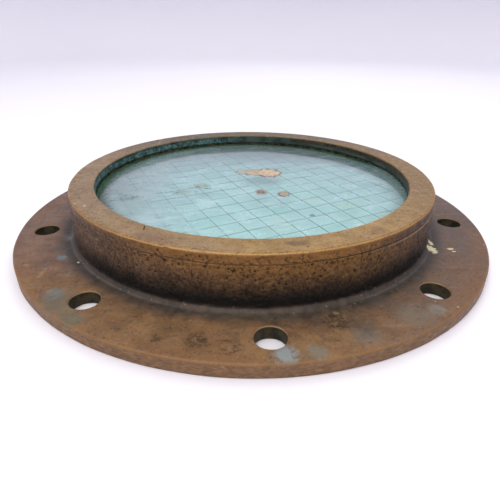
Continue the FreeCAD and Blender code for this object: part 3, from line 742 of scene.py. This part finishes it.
    # grime, and painted shade and reflection of the dark lip, near the back and side edges
    grime_and_shade = n.fade(n.stray(fine, 9 * MM, n.radius),
                   CLEAR_RADIUS - 11 * MM, CLEAR_RADIUS - 3 * MM)
    behind = n.math("MAXIMUM", n.fade(n.y, -0.02, 0.05), n.fade(n.x, 0.06, 0.10, 0.0, 0.7))
    grime_and_shade = n.times(grime_and_shade, n.math("MAXIMUM", behind, n.fade(n.x, -0.06, -0.09)))
    film = n.mix(grime_and_shade, film, n.tones(fine, 0.35, 0.65, (34, 56, 42), (70, 96, 72)))
    haze = n.math("MAXIMUM", haze, n.times(grime_and_shade, 0.97))
    dirt = n.principled(film, 0.14, 0.0, normal)
    upper = n.blend(n.times(haze, on_top), pane, dirt)

    # the lower face scatters most of the light, a little unevenly, with painted shade towards the back
    shade = n.tones(cloudy, 0.35, 0.65, (214, 246, 243), (230, 253, 250))
    shade = n.lay(shade, (226, 240, 212), n.fade(n.noise(0.02, 4.0, 0.6, 5.5), 0.56, 0.7), 0.6)
    shade = n.lay(shade, (222, 226, 228), n.fade(n.x, -0.03, -0.09), 0.8)
    # painted shade on the frost towards the back
    shade = n.lay(shade, (150, 172, 168), n.fade(n.y, 0.03, 0.09), 0.75)
    frost = n.principled(shade, 0.6, 0.0, n.bump(n.times(n.noise(0.003, 3.0, 0.6, 1.2), 0.3)), 0.1)
    below = n.fade(n.z, GLASS_FOOT + 0.3 * MM, GLASS_FOOT + 0.15 * MM)
    return n.finish(n.blend(n.times(below, n.fade(wiped, 0.3, 0.7, 0.70, 0.82)), upper, frost))


# ------------------------------------------------------------------ pieces
TURNS = np.arange(720) * TURN / 720
HOLE_WINDOW = 9.6 * MM      # half the width of the patch of flange that is meshed round each hole
WINDOW_ROWS = 16
WINDOW_COLUMNS = 8          # on each side of the hole's middle


def frame_outline():
    """The casting's outline, and the first row of the hole patches on its top and on its underside."""
    outline, rows = [], {}
    inner, outer = BOLT_CIRCLE - HOLE_WINDOW, BOLT_CIRCLE + HOLE_WINDOW

    def line(start, end, step):
        outline.extend(run(start, end, step))

    def patch(label, start, end):
        rows[label] = len(outline)
        outline.extend(run(start, end, 2 * HOLE_WINDOW / WINDOW_ROWS))

    def corner(across, along, radius, first, last, count):
        outline.extend(bend((across, along), radius, first, last, count)[:-1])

    line((FILLET_END, FLANGE_TOP), (inner, FLANGE_TOP), 1.2 * MM)
    patch("top", (inner, FLANGE_TOP), (outer, FLANGE_TOP))
    line((outer, FLANGE_TOP), (FLANGE_RADIUS - FLANGE_EDGE, FLANGE_TOP), 1.4 * MM)
    corner(FLANGE_RADIUS - FLANGE_EDGE, FLANGE_TOP - FLANGE_EDGE, FLANGE_EDGE, 90, 0, 5)
    line((FLANGE_RADIUS, FLANGE_TOP - FLANGE_EDGE), (FLANGE_RADIUS, FLANGE_FOOT), 1.1 * MM)
    corner(FLANGE_RADIUS - FLANGE_FOOT, FLANGE_FOOT, FLANGE_FOOT, 0, -90, 4)
    line((FLANGE_RADIUS - FLANGE_FOOT, 0.0), (outer, 0.0), 3.4 * MM)
    patch("foot", (outer, 0.0), (inner, 0.0))
    line((inner, 0.0), (SILL_RADIUS + SILL_ROUND, 0.0), 4.0 * MM)
    corner(SILL_RADIUS + SILL_ROUND, SILL_ROUND, SILL_ROUND, -90, -180, 5)
    line((SILL_RADIUS, SILL_ROUND), (SILL_RADIUS, SILL_HEIGHT - SILL_ROUND), 2.8 * MM)
    corner(SILL_RADIUS + SILL_ROUND, SILL_HEIGHT - SILL_ROUND, SILL_ROUND, 180, 90, 5)
    line((SILL_RADIUS + SILL_ROUND, SILL_HEIGHT), (THREAD_RADIUS, SILL_HEIGHT), 4.2 * MM)
    outline.extend(threaded(THREAD_RADIUS, THREAD_DEPTH, SILL_HEIGHT, NECK_TOP - NECK_EDGE, *NECK_THREAD,
                            1.6 * MM))
    corner(THREAD_RADIUS + NECK_EDGE, NECK_TOP - NECK_EDGE, NECK_EDGE, 180, 90, 3)
    line((THREAD_RADIUS + NECK_EDGE, NECK_TOP), (NECK_RADIUS - NECK_EDGE, NECK_TOP), 2.4 * MM)
    corner(NECK_RADIUS - NECK_EDGE, NECK_TOP - NECK_EDGE, NECK_EDGE, 90, 0, 3)
    line((NECK_RADIUS, NECK_TOP - NECK_EDGE), (NECK_RADIUS, FLANGE_TOP + BASE_FILLET), 0.9 * MM)
    corner(FILLET_END, FLANGE_TOP + BASE_FILLET, BASE_FILLET, 180, 270, 8)
    return outline, rows


def sand_cast(size, seed):
    """Depth in metres of a sand-cast skin on a grid of points: swells, grit and pits."""
    rng = np.random.default_rng(seed)
    swell = smooth_random(rng, size, 26)
    grit = smooth_random(rng, size, 1)
    pits = np.clip(smooth_random(rng, size, 1) - 1.3, 0, 1.6)
    return MM * (0.10 * np.clip(0.8 + 0.5 * swell, 0, 2) + 0.05 * np.clip(grit + 1, 0, 3) + 0.32 * pits)


def make_frame_casting(material):
    """The flange and neck, sand-cast: uneven, pitted down the neck, with its nine holes."""
    outline, rows = frame_outline()
    size = (len(outline), len(TURNS))
    depth = sand_cast(size, 11)
    rng = np.random.default_rng(12)
    swell = smooth_random(rng, size, 26)
    dents = np.clip(smooth_random(rng, size, 2) - 1.7, 0, 1.5)
    seam = smooth_random(rng, size, 1)

    def shape(radius, turn, height):
        wall = (np.abs(radius - NECK_RADIUS) < NEAR) & (height < NECK_TOP - 0.5 * MM)
        upper_fillet = (radius > NECK_RADIUS) & (radius < NECK_RADIUS + 0.3 * BASE_FILLET)
        wall |= upper_fillet & (height > FLANGE_TOP + 0.1 * MM)
        top = (np.abs(height - FLANGE_TOP) < NEAR) & (radius > FILLET_END - 1 * MM)
        rim = np.abs(radius - FLANGE_RADIUS) < 1.2 * MM
        near_seam = np.exp(-((height - (NECK_TOP - 1.6 * MM)) / (1.2 * MM)) ** 2)
        radius = radius - np.where(wall, depth + 0.5 * MM * near_seam * np.clip(seam - 0.6, 0, 1.5), 0)
        height = height - np.where(top, MM * (0.03 * np.clip(1 + swell, 0, 3) + 0.12 * dents), 0)
        radius = radius - np.where(rim, MM * (0.05 * np.clip(1 + swell, 0, 3) + 0.14 * dents), 0)
        return radius, turn, height

    points = lathe(outline, TURNS, shape).reshape(-1, 3).tolist()
    skip = np.zeros(size, bool)
    faces = []
    for number in range(BOLT_COUNT):
        faces += bolt_hole(points, rows, skip, TURN * (0.75 + number / BOLT_COUNT))
    faces += [tuple(f) for f in ring_faces(*size, skip)]
    return closed_piece("cast_frame", points, faces, "frame", material)


def bolt_hole(points, rows, skip, bearing):
    """Cut one hole: leave out its patches of flange, and fill them round a chamfered bore."""
    steps = len(TURNS)
    middle = round(bearing / TURN * steps) % steps
    centre = BOLT_CIRCLE * np.array([math.cos(TURNS[middle]), math.sin(TURNS[middle])])
    columns = [(middle + k) % steps for k in range(-WINDOW_COLUMNS, WINDOW_COLUMNS + 1)]
    faces, loops = [], {}
    for label, level, down in (("top", FLANGE_TOP, -1), ("foot", 0.0, 1)):
        order = list(range(rows[label], rows[label] + WINDOW_ROWS + 1))
        for row in order[:-1]:
            skip[row, columns[:-1]] = True
        if label == "foot":
            order.reverse()
        border = [(order[0], c) for c in columns] + [(r, columns[-1]) for r in order[1:]]
        border += [(order[-1], c) for c in reversed(columns[:-1])]
        border += [(r, columns[0]) for r in reversed(order[1:-1])]
        loop = [row * steps + column for row, column in border]
        outside = np.array([points[i] for i in loop])
        away = outside[:, :2] - centre
        away /= np.linalg.norm(away, axis=1)[:, None]
        mouth = np.column_stack([centre + away * (BOLT_HOLE + HOLE_CHAMFER), np.full(len(loop), level)])
        rings = [outside * (1 - share) + mouth * share for share in (0.3, 0.58, 0.8, 0.93, 1.0)]
        depths = [HOLE_CHAMFER] + ([2.2 * MM, 4.4 * MM] if label == "top" else [])
        rings += [np.column_stack([centre + away * BOLT_HOLE, np.full(len(loop), level + down * depth)])
                  for depth in depths]
        for ring in rings:
            new_loop = list(range(len(points), len(points) + len(loop)))
            points.extend(ring.tolist())
            faces += band_between(loop, new_loop)
            loop = new_loop
        loops[label] = loop
    return faces + band_between(loops["top"], loops["foot"])


def band_between(first, second):
    """Quads that join two closed loops of as many points."""
    count = len(first)
    return [(first[k], first[(k + 1) % count], second[(k + 1) % count], second[k]) for k in range(count)]


def make_glass_ring(material):
    """The screw-out ring: worn face, chamfered edge, lip, and a threaded skirt, with the nick in its lip."""
    face_edge, side_top = RING_RADIUS - RING_CHAMFER, RING_TOP - RING_CHAMFER
    outline = path([
        (CLEAR_RADIUS, LIP_FOOT, 1.6),
        (SKIRT_INNER, LIP_FOOT, 2.0),
        (SKIRT_INNER, SKIRT_FOOT, 1.7),
    ], (SKIRT_RADIUS, SKIRT_FOOT))
    outline += threaded(SKIRT_RADIUS, -THREAD_DEPTH, SKIRT_FOOT, RING_SEAT, *RING_THREAD, 0.8 * MM)
    outline += path([
        (SKIRT_RADIUS, RING_SEAT, 1.8),
        (RING_RADIUS, RING_SEAT, 0.5),
        (RING_RADIUS, side_top, 0.4),
        (face_edge, RING_TOP, 0.7),
        (CLEAR_RADIUS + RING_INNER_CHAMFER, RING_TOP, 0.3),
        (CLEAR_RADIUS, RING_TOP - RING_INNER_CHAMFER, 0.7),
    ], (CLEAR_RADIUS, LIP_FOOT))

    # extra angles on each side of the nick give it square walls; its columns lean so that it runs along Y
    nick_turn = nick_bearing(CLEAR_RADIUS)
    half_turn = NICK_HALF / (CLEAR_RADIUS * abs(math.sin(nick_turn)))
    edges = [nick_turn + side * half_turn * part for side in (-1, 1) for part in (0.86, 1.0)]
    turns = np.unique(np.concatenate([TURNS, edges]))
    size = (len(outline), len(turns))
    depth = sand_cast(size, 21)
    rng = np.random.default_rng(23)
    swell = smooth_random(rng, size, 22)
    grit = smooth_random(rng, size, 1)
    pits = np.clip(smooth_random(rng, size, 2) - 1.9, 0, 1.5)
    in_nick = np.abs(turns - nick_turn) < half_turn * 0.93
    nick_end = math.hypot(NICK_OFFSET, NICK_END)
    lean_span = math.radians(4)

    def shape(radius, turn, height):
        top = (height > RING_TOP - NEAR) & (radius < face_edge - NEAR)
        side = (radius > RING_RADIUS - NEAR) & (height > RING_SEAT + 0.3 * MM)
        edge = (radius > face_edge - NEAR) & (height > side_top - NEAR)
        lip = (radius < CLEAR_RADIUS + NEAR) & (height > LIP_FOOT + 0.3 * MM)
        upper = (height > RING_TOP - 2.0 * MM) & (radius < nick_end + 2 * MM)
        lean = nick_bearing(np.clip(radius, CLEAR_RADIUS, nick_end)) - nick_turn
        share = np.clip(1 - (np.abs(turn - nick_turn) / lean_span) ** 2, 0, 1)
        turn = turn + np.where(upper, lean * share, 0)
        cut = in_nick[None, :] & upper & (radius < nick_end)
        height = height - np.where(top, MM * (0.02 * np.clip(1 + swell, 0, 3) + 0.08 * pits), 0)
        height = np.where(cut, np.minimum(height, RING_TOP - NICK_DEPTH), height)
        radius = radius - np.where(side, depth, 0)
        wear = MM * (0.04 * np.clip(1 + swell, 0, 3) + 0.04 * np.clip(1 + grit, 0, 3) + 0.15 * pits)
        radius = radius - np.where(edge & ~side, wear, 0)
        crust = MM * (0.05 * np.clip(1 + swell, 0, 3) + 0.05 * np.clip(1 + grit, 0, 3))
        radius = radius + np.where(lip, crust, 0)
        return radius, turn, height

    points = lathe(outline, turns, shape).reshape(-1, 3)
    return closed_piece("screw_out_ring", points, ring_faces(*size), "glass_ring", material)


def nick_bearing(radius):
    """Angle round the axis of the nick's middle line, which runs along Y at a fixed X, at a radius."""
    return math.pi + np.arccos(NICK_OFFSET / radius)


def make_putty(material):
    """The bead of putty under the lip, with an uneven inner edge."""
    foot, top = GLASS_TOP, LIP_FOOT
    middle = (foot + top) / 2
    outline = path([
        (PUTTY_INNER, foot, 1.2),
        (PACKING_RADIUS, foot, 0.6),
        (PACKING_RADIUS, top, 1.2),
        (PUTTY_INNER, top, 0.3),
    ], (PUTTY_INNER, foot))
    rng = np.random.default_rng(31)
    lumps = smooth_random(rng, (len(outline), len(TURNS)), 3)

    def shape(radius, turn, height):
        free = radius < PUTTY_INNER + 0.1 * MM
        bulge = 0.35 * MM * np.cos((height - middle) / (top - foot) * math.pi)
        radius = radius + np.where(free, 0.22 * MM * np.clip(lumps + 1.2, 0, 3) - bulge, 0)
        return radius, turn, height

    points = lathe(outline, TURNS, shape).reshape(-1, 3)
    faces = ring_faces(len(outline), len(TURNS))
    return closed_piece("putty_bead", points, faces, "glass_ring", material)


def make_pane(material):
    """The pane, with a slightly wavy upper face and ground edges."""
    edge = 0.4 * MM
    hub = 0.02      # the innermost ring's share of the radius
    rings = [(GLASS_RADIUS * share, GLASS_TOP) for share in np.linspace(hub, 1, 46)[:-1]]
    rings += [(GLASS_RADIUS - edge, GLASS_TOP), (GLASS_RADIUS, GLASS_TOP - edge)]
    rings += [(GLASS_RADIUS, GLASS_FOOT + edge), (GLASS_RADIUS - edge, GLASS_FOOT)]
    rings += [(GLASS_RADIUS * share, GLASS_FOOT) for share in np.linspace(1, hub, 16)[1:]]
    turns = TURNS[::3]
    rng = np.random.default_rng(41)
    waves = smooth_random(rng, (len(rings), len(turns)), 12)

    def shape(radius, turn, height):
        fade = np.clip(radius / (10 * MM), 0, 1) * np.clip((CLEAR_RADIUS - radius) / (10 * MM), 0, 1)
        dip = 0.02 * MM * np.clip(waves + 1, 0, 3) * fade
        return radius, turn, height - np.where(height > GLASS_TOP - NEAR, dip, 0)

    points = lathe(rings, turns, shape).reshape(-1, 3)
    faces = [tuple(f) for f in ring_faces(len(rings), len(turns)) if f.max() - f.min() < 2 * len(turns)]
    count, last = len(turns), (len(rings) - 1) * len(turns)
    points = np.vstack([points, [[0, 0, GLASS_TOP], [0, 0, GLASS_FOOT]]])
    top_middle, foot_middle = len(points) - 2, len(points) - 1
    for k in range(count):
        beside = (k + 1) % count
        faces.append((top_middle, k, beside))
        faces.append((foot_middle, last + beside, last + k))
    return closed_piece("wired_glass", points, faces, "glass_ring", material)


def make_netting(material):
    """Two crossed layers of wire, each wire a little wavy, as netting settles in molten glass."""
    rng = np.random.default_rng(53)
    reach = GLASS_RADIUS - 0.8 * MM
    rows = math.ceil(reach / MESH_PITCH)
    sides, points, faces = 6, [], []
    for layer, shift in enumerate(MESH_SHIFTS):
        turn = math.radians(MESH_TURN + 90 * layer)
        along = np.array([math.cos(turn), math.sin(turn), 0])
        across = np.array([-math.sin(turn), math.cos(turn), 0])
        level = NETTING_MIDDLE + (layer - 0.5) * 2 * WIRE_RADIUS
        for row in range(-rows, rows + 1):
            offset = row * MESH_PITCH + shift
            if abs(offset) > reach - 2 * MM:
                continue
            half = math.sqrt(reach ** 2 - offset ** 2)
            count = max(8, round(2 * half / (3 * MM)))
            place = np.linspace(-half, half, count)
            drift = 0
            for _ in range(3):
                reach_aside = rng.uniform(0.03, 0.12) * MM
                length = rng.uniform(30, 90)
                phase = rng.uniform(0, TURN)
                drift = drift + reach_aside * np.sin(place / length / MM * TURN + phase)
            middle = along * place[:, None] + across * (offset + drift)[:, None]
            middle[:, 2] = level
            thick = WIRE_RADIUS * rng.uniform(0.85, 1.1)
            start = len(points)
            for centre in middle:
                for side in range(sides):
                    bearing = TURN * side / sides
                    points.append(centre + thick * (math.cos(bearing) * across
                                                    + math.sin(bearing) * np.array([0, 0, 1])))
            for k in range(count - 1):
                for side in range(sides):
                    beside = (side + 1) % sides
                    faces.append((start + k * sides + side, start + k * sides + beside,
                                  start + (k + 1) * sides + beside, start + (k + 1) * sides + side))
            faces.append(tuple(start + side for side in range(sides)))
            faces.append(tuple(start + (count - 1) * sides + side for side in reversed(range(sides))))
    return closed_piece("netting", points, faces, "glass_ring", material)


cast_bronze = make_cast_bronze()
ring_bronze = make_ring_bronze()
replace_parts(make_frame_casting(cast_bronze), "frame_casting")
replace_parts(make_glass_ring(ring_bronze), "glass_ring")
putty = make_soft("putty", (146, 124, 84), (48, 46, 36), 0.85, 0.004)
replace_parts(make_putty(putty), "bedding_putty")
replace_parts(make_pane(make_glass()), "window_glass")
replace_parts(make_netting(make_wire()), "wire_netting")

finishes = {
    "joint_washer": make_washer(),
    "edge_packing": make_soft("packing", (58, 56, 52), (30, 29, 28), 0.8, 0.004),
    "glass_gasket": make_soft("gasket", (44, 43, 42), (22, 22, 22), 0.7, 0.005),
    "glazing_ring": make_inner_bronze("glazing_bronze", (150, 116, 70), (94, 70, 44)),
    "glazing_screws": make_inner_bronze("screw_brass", (176, 144, 86), (112, 88, 50)),
}
for node, material in finishes.items():
    piece = frame["nodes"][node]
    piece.data.materials.clear()
    piece.data.materials.append(material)


# ------------------------------------------------------------------ floor, light and camera
def make_sweep():
    """A pale floor that curves up into a wall all round, as in a photographer's cove."""
    floor, curve, wall = 1.6, 0.8, 2.2
    outline = [(0.02, 0.0)] + run((0.2, 0.0), (floor, 0.0), 0.2)
    outline += bend((floor, curve), curve, -90, 0, 16) + [(floor + curve, wall)]
    turns = TURNS[::6]
    points = lathe(outline, turns, lambda radius, turn, height: (radius, turn, height)).reshape(-1, 3)
    count = len(turns)
    faces = [tuple(f) for f in ring_faces(len(outline), count) if f.max() - f.min() < 2 * count]
    data = bpy.data.meshes.new("sweep")
    faces.append(tuple(reversed(range(count))))
    data.from_pydata([tuple(p) for p in points], [], [tuple(int(i) for i in f) for f in faces])
    data.shade_smooth()
    sweep = bpy.data.objects.new("sweep", data)
    bpy.context.scene.collection.objects.link(sweep)
    n = Nodes("sweep")
    shade = n.fade(n.noise(0.8, 2.0, 0.5, 1.0), 0.3, 0.7)
    pale = n.mix(shade, (0.93, 0.92, 0.94, 1.0), (0.96, 0.95, 0.96, 1.0))
    pale = n.mix(n.fade(n.z, 0.02, 0.5), pale, (0.67, 0.645, 0.76, 1.0))
    data.materials.append(n.finish(n.principled(pale, 0.7, 0.0)))


def area_light(name, place, aim, size, power, colour):
    """A round lamp that points at aim; its size is in metres and its power in watts."""
    lamp = bpy.data.lights.new(name, "AREA")
    lamp.shape = "DISK"
    lamp.size = size
    lamp.energy = power
    lamp.color = colour
    holder = bpy.data.objects.new(name, lamp)
    holder.location = place
    holder.rotation_mode = "QUATERNION"
    holder.rotation_quaternion = (Vector(aim) - Vector(place)).to_track_quat("-Z", "Y")
    bpy.context.scene.collection.objects.link(holder)


def make_camera():
    """The camera stands a little left of the front, looking down at 28 degrees."""
    place = Vector((-18.1, -275.0, 125.7)) * MM
    yaw, pitch, roll = math.radians(3.634), math.radians(28.4), math.radians(0.5)
    forward = Vector((math.sin(yaw) * math.cos(pitch), math.cos(yaw) * math.cos(pitch), -math.sin(pitch)))
    level = Vector((math.cos(yaw), -math.sin(yaw), 0))
    upright = level.cross(forward)
    right = level * math.cos(roll) + upright * math.sin(roll)
    up = upright * math.cos(roll) - level * math.sin(roll)
    data = bpy.data.cameras.new("camera")
    data.lens = 30.1
    data.clip_start = 0.01
    camera = bpy.data.objects.new("camera", data)
    camera.matrix_world = Matrix((
        (right.x, up.x, -forward.x, place.x),
        (right.y, up.y, -forward.y, place.y),
        (right.z, up.z, -forward.z, place.z),
        (0, 0, 0, 1),
    ))
    bpy.context.scene.collection.objects.link(camera)
    bpy.context.scene.camera = camera


make_sweep()
world = bpy.data.worlds.new("studio")
world.use_nodes = True
world.node_tree.nodes["Background"].inputs["Color"].default_value = (0.97, 0.95, 1.0, 1.0)
world.node_tree.nodes["Background"].inputs["Strength"].default_value = 1.1
bpy.context.scene.world = world
area_light("key", (-0.25, -0.45, 1.1), (0, 0, 0), 0.7, 5.0, (1.0, 0.98, 0.95))
area_light("back", (0.4, 0.9, 1.0), (0, 0, 0), 0.9, 3.0, (0.97, 0.98, 1.0))
make_camera()
bpy.context.scene.view_settings.view_transform = "Standard"
